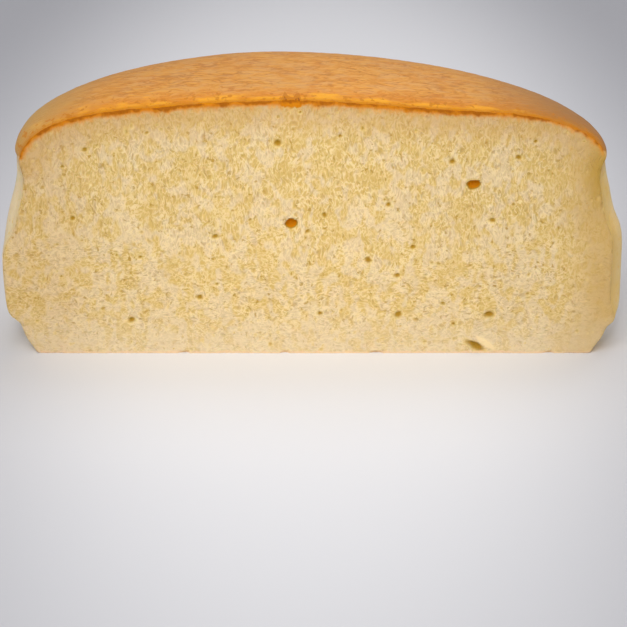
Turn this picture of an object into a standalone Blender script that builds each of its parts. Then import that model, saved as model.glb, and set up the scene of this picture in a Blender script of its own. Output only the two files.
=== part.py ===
"""Half of a round Japanese cheesecake, cut through its middle and standing on its baked base.

The cake was baked in a 15 cm tin and turned out. Its side bellies out over a base that shrank in
the tin, and a thin browned crust domes over the top and ends in a lip at the head of the side.
The solid is one piece of crumb: a turned cake, settled and creased a little out of true, cut by
one wavering pass of a knife, with the air bubbles that the knife opened left as pits in the cut.

Units are metres and +Z is up. The cut face looks along -Y. While the cake is shaped, its own axis
is X = Y = 0. At the end it is moved so that the origin lies under the middle of its outline.
"""

import math

import bmesh
import bpy
from mathutils import Matrix, Vector, noise

# The cake before it was cut
CAKE_RADIUS = 0.0742  # at the belly of the side
CAKE_HEIGHT = 0.0624  # at the crown of the dome
BASE_RADIUS = 0.0665  # where the baked base meets the side

# The crust, from the crown down to its lip
CRUST_RADIUS = 0.0701  # at the lip
DOME_SAG = 0.0031  # how far a flat dome falls from the crown to the lip's radius
SHOULDER_WIDTH = 0.0264  # the rounded shoulder starts this far inside the lip
SHOULDER_DROP = 0.0092  # and falls this much more
LIP_OVERHANG = 0.0005  # the crust stands this far proud of the side below it
LIP_THICKNESS = 0.0010

# The side, as (radius, height) stations from the neck under the lip down to the base
SIDE_STATIONS = (
    (CRUST_RADIUS - LIP_OVERHANG, 0.0485),
    (0.0700, 0.0445),
    (0.0709, 0.0395),
    (0.0728, 0.0340),
    (CAKE_RADIUS, 0.0270),
    (0.0740, 0.0160),
    (0.0733, 0.0100),  # over the crease that the paper pressed in
    (0.0706, 0.0076),  # under that crease
    (0.0692, 0.0040),
    (BASE_RADIUS, 0.0000),
)

# How finely the turned cake is divided
TURN_STEPS = 100
DOME_RINGS = 8
SHOULDER_RINGS = 10
RINGS_PER_STATION = 3
BASE_RINGS = 3

# The knife's cut
CUT_IN_FRONT = 0.0070  # the knife passed this far in front of the cake's axis
CUT_WAVER = 0.00035
CUT_WAVE_LENGTH = 0.0110
CUT_CELL = 0.0042  # side of the cut face's cells
KNIFE_REACH = 0.0900  # half the cutter's width, past both sides of the cake
KNIFE_THICKNESS = 0.1200  # takes away all that is in front of the cut

# How the soft side draws in behind the cut, in the last stretch before it
DRAW_IN_DEPTH = 0.0090
DRAW_IN_LOOPS = 3  # extra loops behind the cut, so that this stretch bends smoothly
# At each end of the cut: most, the heights where it starts and ends, and how much at the crust
LEFT_DRAW_IN = (0.0034, 0.0240, 0.0500, 0.0025)
RIGHT_DRAW_IN = (0.0032, 0.0060, 0.0500, 0.0007)
LOOP_SNAP = 0.0003  # a corner this near to an extra loop moves onto it

# Unevenness from baking and cooling
BELLY_WOBBLE = 0.0004
BELLY_WAVE_LENGTH = 0.0300
CREASE_DEPTH = 0.00020  # soft upright creases from the baking paper
CREASE_COUNT = 26
CREASE_SLOPE = 0.0012  # the crease over the base runs this much lower at the right
PINCH_DEPTH = 0.0010  # the right side is drawn in this much over its belly
PINCH_REACH = (0.0280, 0.0400)  # between these heights
DOME_WOBBLE = 0.0003
DOME_WAVE_LENGTH = 0.0260
BACK_SAG = 0.0023  # the dome sinks this much towards the back right
BACK_SAG_HEADING = math.radians(25)
CUT_CROWN = -0.0096  # where along the cut the crust stands highest
LEFT_CUT_SAG = 0.0014  # the knife bent the crust down this much towards the ends of the cut
RIGHT_CUT_SAG = 0.0017
CUT_SAG_REACH = 0.0240  # and that bend fades out this far behind the cut
HEAD_LEAN = 0.0008  # the top of the cake leans to the left

# Air bubbles opened by the knife: (across, height, half width, half height) on the cut face
BUBBLES = (
    (-0.0054, 0.0323, 0.0017, 0.0015),
    (0.0376, 0.0418, 0.0017, 0.0011),
    (0.0417, 0.0100, 0.0015, 0.0010),
    (-0.0084, 0.0522, 0.0011, 0.0011),
    (-0.0434, 0.0086, 0.0011, 0.0010),
    (0.0200, 0.0100, 0.0010, 0.0012),
    (-0.0233, 0.0294, 0.0010, 0.0009),
    (0.0128, 0.0236, 0.0009, 0.0011),
    (0.0420, 0.0333, 0.0010, 0.0008),
    (-0.0271, 0.0143, 0.0009, 0.0008),
    (0.0198, 0.0197, 0.0010, 0.0008),
    (0.0175, 0.0372, 0.0009, 0.0009),
    (0.0324, 0.0477, 0.0010, 0.0009),
    (-0.0536, 0.0506, 0.0009, 0.0008),
    (0.0478, 0.0487, 0.0009, 0.0008),
    (-0.0568, 0.0339, 0.0008, 0.0010),
    (0.0234, 0.0267, 0.0009, 0.0007),
    (0.0025, 0.0346, 0.0009, 0.0008),
)
BUBBLE_DEPTH = 1.15  # depth of a pit over its half width

# Where the knife and the paper tore the crumb: (across, height, half width, half height, depth, roll)
TEARS = (
    (0.0387, 0.0024, 0.0032, 0.0009, 0.0011, math.radians(26)),  # a flake lifted off the lower edge
    (-0.0056, 0.0620, 0.0017, 0.0011, 0.0012, 0.0),  # a nick in the crust
    (-0.0310, 0.0000, 0.0016, 0.0006, 0.0009, 0.0),  # and nicks along the base
    (-0.0070, 0.0000, 0.0012, 0.0007, 0.0008, 0.0),
    (0.0150, 0.0000, 0.0019, 0.0006, 0.0009, 0.0),
    (0.0560, 0.0000, 0.0014, 0.0006, 0.0008, 0.0),
)


def clear_scene():
    """Removes whatever the file opened with."""
    for obj in list(bpy.data.objects):
        bpy.data.objects.remove(obj)


def new_collection(name):
    """A collection of this name, in the scene."""
    made = bpy.data.collections.new(name)
    bpy.context.scene.collection.children.link(made)
    return made


def smooth(start, end, value):
    """0 before start, 1 after end, and an even curve between them."""
    t = min(1.0, max(0.0, (value - start) / (end - start)))
    return t * t * (3 - 2 * t)


def window(start, end, ramp, value):
    """1 between start and end, fading to 0 over the ramp inside each."""
    return smooth(start, start + ramp, value) * (1 - smooth(end - ramp, end, value))


def dome_height(radius):
    """Height of the flat dome at this radius, before the shoulder rounds it off."""
    return CAKE_HEIGHT - DOME_SAG * (radius / CRUST_RADIUS) ** 2


def crust_profile():
    """(radius, height) points down the crust, from the crown to the underside of its lip."""
    shoulder_start = CRUST_RADIUS - SHOULDER_WIDTH
    flat = [shoulder_start * i / DOME_RINGS for i in range(DOME_RINGS)]
    points = [(radius, dome_height(radius)) for radius in flat]
    for i in range(SHOULDER_RINGS + 1):
        angle = math.pi / 2 * i / SHOULDER_RINGS
        radius = shoulder_start + SHOULDER_WIDTH * math.sin(angle)
        points.append((radius, dome_height(radius) - SHOULDER_DROP * (1 - math.cos(angle))))
    points.append((CRUST_RADIUS, points[-1][1] - LIP_THICKNESS))
    return points


def side_profile():
    """(radius, height) points down the side, on a smooth curve through its stations."""
    stations = [Vector(station) for station in SIDE_STATIONS]
    ends = [stations[0] * 2 - stations[1], *stations, stations[-1] * 2 - stations[-2]]
    points = []
    for before, here, after, beyond in zip(ends, ends[1:], ends[2:], ends[3:]):
        for i in range(RINGS_PER_STATION):
            t = i / RINGS_PER_STATION
            point = 0.5 * (
                2 * here
                + (after - before) * t
                + (2 * before - 5 * here + 4 * after - beyond) * t**2
                + (3 * here - before - 3 * after + beyond) * t**3
            )
            points.append(tuple(point))
    return points


def base_profile():
    """(radius, height) points in along the base, from its edge to the axis."""
    return [(BASE_RADIUS * (1 - i / BASE_RINGS), 0.0) for i in range(BASE_RINGS + 1)]


def turned_cake():
    """The whole round cake, turned about its axis and still true."""
    profile = crust_profile() + side_profile() + base_profile()
    mesh = bpy.data.meshes.new("cake_profile")
    edges = [(i, i + 1) for i in range(len(profile) - 1)]
    mesh.from_pydata([(radius, 0.0, height) for radius, height in profile], edges, [])
    guide = bpy.data.objects.new("cake_profile", mesh)
    bpy.context.scene.collection.objects.link(guide)
    screw = guide.modifiers.new("turn", "SCREW")
    screw.axis = "Z"
    screw.angle = 2 * math.pi
    screw.steps = TURN_STEPS
    screw.render_steps = TURN_STEPS
    screw.use_merge_vertices = True
    screw.merge_threshold = 0.00001
    graph = bpy.context.evaluated_depsgraph_get()
    turned = bpy.data.meshes.new_from_object(guide.evaluated_get(graph))
    bpy.data.objects.remove(guide)
    return turned


def add_loops_behind_cut(mesh):
    """Divides the cake along planes just behind the cut, where the side is to be drawn in."""
    bm = bmesh.new()
    bm.from_mesh(mesh)
    for i in range(DRAW_IN_LOOPS):
        place = (0.0, DRAW_IN_DEPTH * (i + 0.5) / DRAW_IN_LOOPS - CUT_IN_FRONT, 0.0)
        everything = bm.verts[:] + bm.edges[:] + bm.faces[:]
        bmesh.ops.bisect_plane(
            bm, geom=everything, dist=LOOP_SNAP, plane_co=place, plane_no=(0.0, 1.0, 0.0)
        )
    bm.to_mesh(mesh)
    bm.free()


def settle_dome(point):
    """The crust's own waves, its sag at the back right, and its bend along the cut."""
    on_crust = smooth(0.0450, 0.0500, point.z)
    wave = noise.noise(Vector((point.x, point.y, 0.0)) / DOME_WAVE_LENGTH)
    towards = point.x * math.cos(BACK_SAG_HEADING) + point.y * math.sin(BACK_SAG_HEADING)
    sag = BACK_SAG * smooth(0.0, 1.0, towards / CRUST_RADIUS)
    sag *= smooth(-CUT_IN_FRONT, 0.0200, point.y)
    at_cut = 1 - smooth(0.0, CUT_SAG_REACH, point.y + CUT_IN_FRONT)
    beside_crown = (point.x - CUT_CROWN) / CRUST_RADIUS
    bend = RIGHT_CUT_SAG if beside_crown > 0 else LEFT_CUT_SAG
    bend *= at_cut * smooth(0.0, 0.6, abs(beside_crown))
    point.z += on_crust * (DOME_WOBBLE * wave - sag - bend)


def settle_side(point):
    """The side's slow waves, its upright paper creases and its pinch at the right."""
    radius = math.hypot(point.x, point.y)
    on_side = window(0.0010, 0.0500, 0.0080, point.z) * smooth(0.8, 1.0, radius / CAKE_RADIUS)
    wave = noise.noise(point / BELLY_WAVE_LENGTH + Vector((4.0, 0.0, 0.0)))
    drift = noise.noise(point / BELLY_WAVE_LENGTH + Vector((0.0, 9.0, 0.0)))
    crease = math.sin(CREASE_COUNT * math.atan2(point.y, point.x) + 3 * drift)
    push = on_side * (BELLY_WOBBLE * wave + CREASE_DEPTH * crease) / max(radius, BASE_RADIUS / 2)
    point.x += point.x * push
    point.y += point.y * push
    at_crease = window(0.0020, 0.0200, 0.0050, point.z)
    point.z -= CREASE_SLOPE * at_crease * smooth(0.0, 1.0, point.x / CAKE_RADIUS)
    at_pinch = window(*PINCH_REACH, 0.0050, point.z)
    point.x -= PINCH_DEPTH * at_pinch * smooth(0.7, 1.0, point.x / CAKE_RADIUS)


def lean(point):
    """The top of the cake, settled a little to the left of its belly."""
    point.x -= HEAD_LEAN * smooth(0.0280, 0.0480, point.z)


def draw_in(point):
    """The side's skin pulled in towards the cut, as soft crumb gives way to the knife."""
    most, low, high, at_crust = RIGHT_DRAW_IN if point.x > 0 else LEFT_DRAW_IN
    near_cut = 1 - smooth(0.0, DRAW_IN_DEPTH, point.y + CUT_IN_FRONT)
    at_side = smooth(0.8, 1.0, abs(point.x) / CAKE_RADIUS)
    by_height = most * window(low, high, 0.0080, point.z)
    by_height = max(by_height, at_crust * smooth(0.0440, 0.0500, point.z))
    point.x -= math.copysign(near_cut * at_side * by_height, point.x)


def cake_body(collection):
    """The whole cake as baked: turned, then settled out of true. Its base stays flat."""
    mesh = turned_cake()
    add_loops_behind_cut(mesh)
    for vertex in mesh.vertices:
        settle_dome(vertex.co)
        settle_side(vertex.co)
        lean(vertex.co)
        draw_in(vertex.co)
    mesh.shade_smooth()
    mesh.set_sharp_from_angle(angle=math.radians(40))
    body = bpy.data.objects.new("half_cake", mesh)
    collection.objects.link(body)
    return body


def cutter(name, bm, collection):
    """A helper object from this bmesh, which cuts and isn't part of the cake."""
    bmesh.ops.recalc_face_normals(bm, faces=bm.faces)
    mesh = bpy.data.meshes.new(name)
    bm.to_mesh(mesh)
    bm.free()
    made = bpy.data.objects.new(name, mesh)
    made.hide_render = True
    made.display_type = "WIRE"
    collection.objects.link(made)
    return made


def knife(collection):
    """A block in front of the cut. Its back face wavers as a hand-held knife does."""
    bm = bmesh.new()
    size = Matrix.Diagonal((KNIFE_REACH, KNIFE_REACH / 2, 1, 1))
    upright = Matrix.Rotation(math.radians(90), 4, "X")
    place = Matrix.Translation((0.0, -CUT_IN_FRONT, CAKE_HEIGHT / 2))
    bmesh.ops.create_grid(
        bm,
        x_segments=round(2 * KNIFE_REACH / CUT_CELL),
        y_segments=round(KNIFE_REACH / CUT_CELL),
        size=1.0,
        matrix=place @ upright @ size,
    )
    for vertex in bm.verts:
        vertex.co.y += CUT_WAVER * noise.noise(vertex.co / CUT_WAVE_LENGTH)
    front = bmesh.ops.extrude_face_region(bm, geom=bm.faces[:])["geom"]
    moved = [item for item in front if isinstance(item, bmesh.types.BMVert)]
    bmesh.ops.translate(bm, verts=moved, vec=(0.0, -KNIFE_THICKNESS, 0.0))
    return cutter("knife", bm, collection)


def pits(collection):
    """Rounded bites out of the cut face: the bubbles, and the tears at its edges."""
    bm = bmesh.new()
    for across, height, half_width, half_height in BUBBLES:
        depth = BUBBLE_DEPTH * half_width
        add_pit(bm, across, height, half_width, half_height, depth, 0.0)
    for tear in TEARS:
        add_pit(bm, *tear)
    return cutter("pits", bm, collection)


def add_pit(bm, across, height, half_width, half_height, depth, roll):
    """One rounded cutter, centred on the cut face."""
    place = Matrix.Translation((across, -CUT_IN_FRONT, height))
    turn = Matrix.Rotation(roll, 4, "Y")
    size = Matrix.Diagonal((half_width, depth, half_height, 1.0))
    bmesh.ops.create_icosphere(bm, subdivisions=2, radius=1.0, matrix=place @ turn @ size)


def cut(body, tools):
    """Takes the shapes of all the tools away from the body."""
    boolean = body.modifiers.new("cut", "BOOLEAN")
    boolean.operation = "DIFFERENCE"
    boolean.solver = "EXACT"
    boolean.operand_type = "COLLECTION"
    boolean.collection = tools


def hex_colour(code):
    """Linear colour from an sRGB hex value."""
    channels = [int(code[i : i + 2], 16) / 255 for i in (1, 3, 5)]
    return [c / 12.92 if c <= 0.04045 else ((c + 0.055) / 1.055) ** 2.4 for c in channels]


def crumb_material():
    """Pale, matt sponge, in the colour of the crumb, which is most of what shows."""
    material = bpy.data.materials.new("cheesecake_crumb")
    material.use_nodes = True
    shader = material.node_tree.nodes["Principled BSDF"]
    shader.inputs["Base Color"].default_value = (*hex_colour("#e6c88c"), 1.0)
    shader.inputs["Roughness"].default_value = 0.8
    shader.inputs["Metallic"].default_value = 0.0
    return material


def stand_on_origin(objects, body):
    """Puts the origin under the middle of the body's outline, by moving all through one empty."""
    graph = bpy.context.evaluated_depsgraph_get()
    corners = [Vector(corner) for corner in body.evaluated_get(graph).bound_box]
    low = [min(corner[axis] for corner in corners) for axis in range(3)]
    high = [max(corner[axis] for corner in corners) for axis in range(3)]
    stand = bpy.data.objects.new("cake_frame", None)
    bpy.context.scene.collection.objects.link(stand)
    stand.location = (-(low[0] + high[0]) / 2, -(low[1] + high[1]) / 2, -low[2])
    for obj in objects:
        obj.parent = stand


def main():
    clear_scene()
    cake = new_collection("japanese_cheesecake_half")
    tools = new_collection("cutters")
    body = cake_body(cake)
    body.data.materials.append(crumb_material())
    blade = knife(tools)
    bites = pits(tools)
    cut(body, tools)
    stand_on_origin((body, blade, bites), body)


main()
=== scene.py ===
"""The looks of half a round Japanese cheesecake, cut upright and standing on its baked base.

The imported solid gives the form. A copy of it is made smooth, cut again by a knife block whose face
carries the open crumb, and finished as browned crust, pale side skin, cut crumb and papered base.
A pale floor that runs up into a backdrop, soft lights and the camera complete the scene. Units are
metres, +Z is up, and the cut face looks along -Y.
"""

import math
import random

import bpy
import numpy as np
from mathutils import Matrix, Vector, noise
from mathutils.bvhtree import BVHTree


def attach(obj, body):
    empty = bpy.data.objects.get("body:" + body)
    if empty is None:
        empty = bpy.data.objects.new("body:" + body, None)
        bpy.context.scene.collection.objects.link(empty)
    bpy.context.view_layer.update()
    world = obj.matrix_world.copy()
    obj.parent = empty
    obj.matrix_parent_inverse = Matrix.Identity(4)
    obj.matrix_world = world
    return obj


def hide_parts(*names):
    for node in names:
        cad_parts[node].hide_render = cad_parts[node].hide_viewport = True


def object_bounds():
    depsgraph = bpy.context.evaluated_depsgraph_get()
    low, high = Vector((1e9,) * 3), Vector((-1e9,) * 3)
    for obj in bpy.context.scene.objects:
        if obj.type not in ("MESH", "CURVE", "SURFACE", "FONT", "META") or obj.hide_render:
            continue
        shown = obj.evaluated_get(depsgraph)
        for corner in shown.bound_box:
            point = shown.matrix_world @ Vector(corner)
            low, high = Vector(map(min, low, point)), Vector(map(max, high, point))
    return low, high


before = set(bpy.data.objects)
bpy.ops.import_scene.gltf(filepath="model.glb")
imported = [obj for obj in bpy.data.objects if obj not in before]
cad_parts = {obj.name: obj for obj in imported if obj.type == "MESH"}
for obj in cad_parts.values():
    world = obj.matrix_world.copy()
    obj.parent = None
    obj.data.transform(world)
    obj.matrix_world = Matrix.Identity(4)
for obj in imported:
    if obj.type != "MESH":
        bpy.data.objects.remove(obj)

bl_info = {
    "name": "Cut Cheesecake",
    "version": (1, 0, 0),
    "blender": (4, 5, 0),
    "location": "3D View > Sidebar > Cheesecake",
    "description": "Dresses a cut half cheesecake with crust, side skin and open crumb",
    "category": "Object",
}

SOLID = "half_cake"
MM = 0.001
CAD_LOW, CAD_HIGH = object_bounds()

# The solid's own places, in its frame
AXIS_X = 0.00009  # the round cake's own axis stands here
AXIS_Y = -0.03355
CUT_IN_FRONT = 0.0070  # and the knife passed this far in front of it
CUT_Y = AXIS_Y - CUT_IN_FRONT
BEHIND_PITS = CUT_Y + 0.0026  # where the deepest bubble of the cut has ended
WAVE_LENGTH = 0.0110  # of the knife's waver
LIP_LOW = 0.0420  # the crust's lip lies between these heights all round
LIP_HIGH = 0.0505
LIP_OUTSIDE = 0.0600  # and further than this from the axis
BORDER_LEFT = 0.0014  # how far the crust's border stands over its lip where the knife crossed it
BORDER_RIGHT = 0.0028

# The camera's frame
PICTURE_ACROSS = 627  # pixels
PIXELS_PER_METRE = 4200  # on the cut face
SENSOR = 36  # millimetres

# Air bubbles that the knife opened: (across, height, half width, half height) on the cut face.
# The first eighteen are the solid's own.
BUBBLES = (
    (-0.0053, 0.0322, 0.0017, 0.00135),
    (0.0377, 0.0418, 0.0017, 0.0011),
    (0.0418, 0.0100, 0.0015, 0.0010),
    (-0.0083, 0.0522, 0.0011, 0.0011),
    (-0.0433, 0.0086, 0.0011, 0.0010),
    (0.0201, 0.0100, 0.0010, 0.0012),
    (-0.0232, 0.0294, 0.0010, 0.0009),
    (0.0129, 0.0236, 0.0009, 0.0011),
    (0.0421, 0.0333, 0.0010, 0.0008),
    (-0.0270, 0.0143, 0.0009, 0.0008),
    (0.0199, 0.0197, 0.0010, 0.0008),
    (0.0176, 0.0372, 0.0009, 0.0009),
    (0.0325, 0.0477, 0.0010, 0.0009),
    (-0.0535, 0.0506, 0.0009, 0.0008),
    (0.0479, 0.0487, 0.0009, 0.0008),
    (-0.0567, 0.0339, 0.0008, 0.0010),
    (0.0235, 0.0267, 0.0009, 0.0007),
    (0.0026, 0.0346, 0.0009, 0.0008),
    (-0.0588, 0.0464, 0.0007, 0.0006),
    (-0.0575, 0.0403, 0.0006, 0.0005),
    (-0.0149, 0.0334, 0.0006, 0.0006),
    (-0.0229, 0.0175, 0.0006, 0.0006),
    (-0.0410, 0.0242, 0.0007, 0.0007),
    (-0.0389, 0.0546, 0.0007, 0.0006),
    (-0.0599, 0.0194, 0.0006, 0.0005),
    (-0.0157, 0.0108, 0.0006, 0.0005),
    (-0.0103, 0.0024, 0.0006, 0.0006),
    (-0.0606, 0.0272, 0.0005, 0.0005),
    (-0.0547, 0.0283, 0.0005, 0.0005),
    (-0.0017, 0.0303, 0.0006, 0.0006),
    (-0.0082, 0.0584, 0.0006, 0.0005),
    (-0.0031, 0.0595, 0.0006, 0.0006),
    (0.0296, 0.0226, 0.0006, 0.0006),
    (0.0307, 0.0127, 0.0007, 0.0007),
    (0.0333, 0.0076, 0.0007, 0.0006),
    (0.0015, 0.0102, 0.0008, 0.0007),
    (0.0470, 0.0372, 0.0007, 0.0006),
    (0.0062, 0.0538, 0.0007, 0.0006),
    (0.0240, 0.0552, 0.0005, 0.0005),
    (0.0519, 0.0525, 0.0007, 0.0006),
    (0.0632, 0.0525, 0.0005, 0.0004),
    (-0.0013, 0.0307, 0.0007, 0.0007),
    (0.0258, 0.0377, 0.0005, 0.0004),
    (0.0509, 0.0151, 0.0006, 0.0005),
)
LARGE_BUBBLE = 0.0016  # half width, from which a bubble shows as a deep hole
LIFTED = 2.5  # the strand value in the middle of a lifted flake

# Torn places: (across, height, half width, half height, depth, roll, tone of its colour, partly
# painted shade in the hollow).
# What has a negative depth stands proud.
TEARS = (
    (0.0387, 0.0018, 0.0027, 0.0009, 0.0012, math.radians(34), 0.9),  # a gouge by the lower edge
    (0.0412, 0.0025, 0.0036, 0.0010, -0.0005, math.radians(36), 0.1),  # and its lifted flake
    (-0.0052, 0.0617, 0.0012, 0.0011, 0.0007, 0.0, 1.4),  # a nick in the crust
    (-0.0067, 0.0620, 0.0006, 0.0008, 0.0005, 0.0, 2.6),  # with a dark mark at each side of it
    (-0.0037, 0.0618, 0.0006, 0.0009, 0.0005, 0.0, 2.6),
    (-0.0309, 0.0000, 0.0016, 0.0006, 0.0009, 0.0, 0.6),  # and nicks along the base
    (-0.0069, 0.0000, 0.0012, 0.0007, 0.0008, 0.0, 0.6),
    (0.0151, 0.0000, 0.0019, 0.0006, 0.0009, 0.0, 0.6),
    (0.0561, 0.0000, 0.0014, 0.0006, 0.0008, 0.0, 0.6),
)


def linear(code):
    """Linear colour, with full alpha, from an sRGB hex value."""
    channels = [int(code[i : i + 2], 16) / 255 for i in (1, 3, 5)]
    return (*[c / 12.92 if c <= 0.04045 else ((c + 0.055) / 1.055) ** 2.4 for c in channels], 1.0)


def colour_of(name, description, code):
    """A colour setting, with this sRGB hex value as its default."""
    return bpy.props.FloatVectorProperty(
        name=name,
        description=description,
        subtype="COLOR",
        size=4,
        min=0,
        max=1,
        default=linear(code),
    )


def length_of(name, description, default):
    """A length setting, in metres."""
    return bpy.props.FloatProperty(
        name=name, description=description, unit="LENGTH", precision=5, min=0, default=default
    )


class CrumbSettings(bpy.types.PropertyGroup):
    """Sizes and colours of the cut face's open crumb."""

    cell: length_of("Cell", "Side of the cut face's cells", 0.00044)
    waver: length_of("Waver", "How far the knife wavered", 0.00018)
    swell: length_of("Swell", "Soft unevenness of the cut", 0.00010)
    strand: length_of("Strand", "Height of the crumb's fine strands", 0.00012)
    pores: bpy.props.IntProperty(
        name="Pores", description="Small air pores on the cut", min=0, default=900
    )
    seed: bpy.props.IntProperty(name="Seed", description="Seed of the crumb", default=11)
    beige: colour_of("Beige", "The drier, paler crumb", "#dac196")
    yellow: colour_of("Yellow", "The moister, eggier crumb", "#d4b36a")
    # The strand and gap colours are painted highlight and painted shade of the torn crumb
    lit_strand_colour: colour_of("Strands", "Lit strands of the crumb", "#f1d9a6")
    gap: colour_of("Gaps", "Shaded gaps between them", "#b8985e")
    halo: colour_of("Halo", "Moist crumb round a pore", "#f0d48c")
    # The pore and bubble colours carry painted shade and a painted glow in the hollows
    pore: colour_of("Pore", "Inside a small pore", "#aa8119")
    bubble: colour_of("Bubble", "Inside a large air bubble", "#c67c00")
    # Also laid at the far left of the cut as painted shade
    under: colour_of("Under the crust", "Crumb that baked drier under the crust", "#c89e64")
    pale: colour_of("Pale", "Dry crumb low down", "#dfccaa")
    rim: colour_of("Rim", "Moist crumb beside the side's skin", "#cda866")
    stain: colour_of("Stain", "Golden stain at the right, under the crust", "#bb933a")


class SkinSettings(bpy.types.PropertyGroup):
    """Sizes and colours of the crust and the other skins."""

    voxel: length_of("Voxel", "Side of the skin's cells before its fine parts are divided", 0.00135)
    wrinkle: length_of("Wrinkle", "Depth of the crust's fine wrinkles", 0.00012)
    wrinkle_size: length_of("Wrinkle size", "From one wrinkle to the next", 0.0026)
    crust: colour_of("Crust", "The browned top", "#e49734")
    crust_dark: colour_of("Dark crust", "Where it browned more", "#de8c30")
    shoulder: colour_of("Shoulder", "The crust's lower, browner round", "#ba8038")
    tan: colour_of("Tan", "Drier, duller spots of the crust", "#dda468")
    # The crust's two end colours are painted shade
    shaded_right_end: colour_of("Brown end", "The crust's browner right end", "#a87030")
    shaded_left_end: colour_of("Pale end", "The crust's paler left end", "#caa05a")
    # Painted shade in the creases and painted highlight on the skin between them
    crease: colour_of("Crease", "Fine creases in the crust", "#be741c")
    lit_skin: colour_of("Lit skin", "Taut skin between the creases", "#fabc62")
    # The edge and glow colours are a painted glow of light through the crust's thin edge
    edge: colour_of("Edge", "The crust beside the cut", "#e68a04")
    glow: colour_of("Glow", "The crust's very edge, lit through", "#ffb024")
    line: colour_of("Line", "The cut through the crust", "#cc7a00")
    line_dark: colour_of("Dark line", "Where that cut shows darker", "#8a4600")
    side: colour_of("Side", "The pale side under the paper", "#f4deb2")
    side_moist: colour_of("Moist side", "The side's skin beside the cut", "#eec05a")
    base: colour_of("Base", "The papered base", "#ecc7a0")


class StageSettings(bpy.types.PropertyGroup):
    """The floor, the lights and the camera."""

    # The floor's two colours paint a pool of light round the cake, with painted shade further off
    floor: colour_of("Floor", "Floor beside the cake", "#eeeef2")
    shaded_far_floor: colour_of("Far floor", "Floor and backdrop further off", "#b6b6bc")
    pitch: bpy.props.FloatProperty(
        name="Pitch",
        description="How far the camera looks down",
        subtype="ANGLE",
        default=math.radians(18.5),
    )
    distance: length_of("Distance", "From the camera to the cut face", 0.70)
    key: bpy.props.FloatProperty(name="Key", description="Power of the window light", default=4.7)
    pool: bpy.props.FloatProperty(name="Pool", description="Power of the spot light", default=15.8)
    back: bpy.props.FloatProperty(name="Back", description="Power of the light behind", default=2.4)
    side: bpy.props.FloatProperty(name="Side", description="Power of the right light", default=0.85)
    fill: bpy.props.FloatProperty(name="Fill", description="Light of the room itself", default=0.44)


def alone(piece):
    """Leaves this piece the only one selected, and active."""
    bpy.ops.object.select_all(action="DESELECT")
    piece.select_set(True)
    bpy.context.view_layer.objects.active = piece


def modify(piece, kind, **settings):
    """Adds a modifier with these settings to the piece and applies it."""
    alone(piece)
    modifier = piece.modifiers.new(kind.lower(), kind)
    for name, value in settings.items():
        setattr(modifier, name, value)
    bpy.ops.object.modifier_apply(modifier=modifier.name)


def points_of(piece):
    """The piece's vertices, as rows of x, y and z."""
    flat = np.empty(len(piece.data.vertices) * 3, np.float32)
    piece.data.vertices.foreach_get("co", flat)
    return flat.reshape(-1, 3)


def move_points(piece, points):
    """Puts the piece's vertices at these rows of x, y and z."""
    piece.data.vertices.foreach_set("co", points.astype(np.float32).ravel())
    piece.data.update()


def smoothstep(start, end, value):
    """0 before start, 1 after end, and an even curve between them, for a whole array."""
    t = np.clip((value - start) / (end - start), 0, 1)
    return t * t * (3 - 2 * t)


def headings_of(points):
    """Headings of these points round the cake's axis, from 0 at the right to pi at the left."""
    return np.arctan2(points[:, 1] - AXIS_Y, points[:, 0] - AXIS_X)


def lip_at_cut(x):
    """How far the crust's border stands over its lip at the cut, at the left or the right."""
    return np.where(np.asarray(x) > AXIS_X, BORDER_RIGHT, BORDER_LEFT)


def line_rise(x):
    """How much higher, and so thinner, the crust's line on the cut shows towards both ends."""
    at_right = 0.0006 * smoothstep(0.036, 0.060, x)
    at_left = 0.0003 * smoothstep(-0.056, -0.069, x)
    return at_right + at_left


def lip_heights(piece):
    """Headings round the cake's axis, and the height of the crust's lip at each.

    The lip is found by its underside, the only faces out there that look down.
    """
    looks_down = -0.4
    half_step = 0.07
    past_ends = 0.1
    centres = [
        face.center
        for face in piece.data.polygons
        if face.normal.z < looks_down and LIP_LOW < face.center.z < LIP_HIGH
    ]
    centres = np.array(centres)
    reach = np.hypot(centres[:, 0] - AXIS_X, centres[:, 1] - AXIS_Y)
    centres = centres[reach > LIP_OUTSIDE]
    headings = headings_of(centres)
    found = []
    for heading in np.linspace(-past_ends, math.pi + past_ends, 60):
        near = np.abs(headings - heading) < half_step
        if near.any():
            found.append((heading, np.median(centres[near, 2])))
    return np.array(found).T


def lip_beside(face, lip):
    """Height of the crust's lip at this face's heading."""
    return np.interp(headings_of(np.array([face.center])), *lip)[0]


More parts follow.
